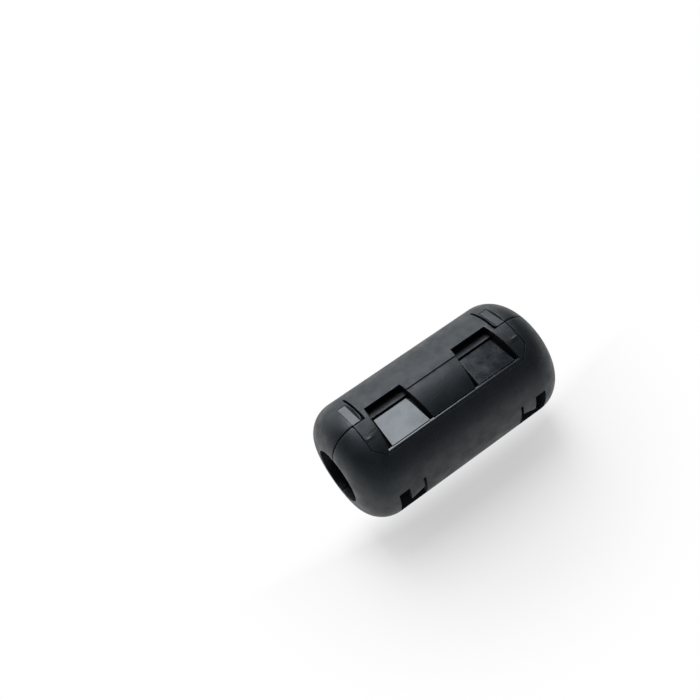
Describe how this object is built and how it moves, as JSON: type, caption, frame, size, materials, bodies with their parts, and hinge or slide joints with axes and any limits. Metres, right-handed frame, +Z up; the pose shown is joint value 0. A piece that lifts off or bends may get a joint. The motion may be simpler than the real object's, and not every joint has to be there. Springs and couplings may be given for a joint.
{
  "type": "clip on ferrite bead",
  "caption": "Round clip-on case in two hinged halves, which closes a split ferrite sleeve round a cable to damp high-frequency noise.",
  "frame": {"origin": "on the ground under the middle of the closed bead, at the foot of the hinge pad", "axes": "+X along the cable, +Y toward the flap half, +Z up from the hinge to the latch"},
  "size_m": [0.0376, 0.0194, 0.0203],
  "materials": {
    "case_nylon": "fine textured black moulded nylon",
    "core_ferrite": "ground and tumbled dark grey sintered ferrite"
  },
  "bodies": {
    "hook_side": {"hook_half": "case_nylon", "hook_side_core": "core_ferrite"},
    "flap_side": {"flap_half": "case_nylon", "flap_side_core": "core_ferrite"}
  },
  "joints": [
    {"name": "case_hinge", "type": "hinge", "parent": "hook_side", "child": "flap_side", "pos_m": [0, 0.001, 0.0012], "axis": [-1, 0, 0], "range_deg": [0, 110]}
  ]
}
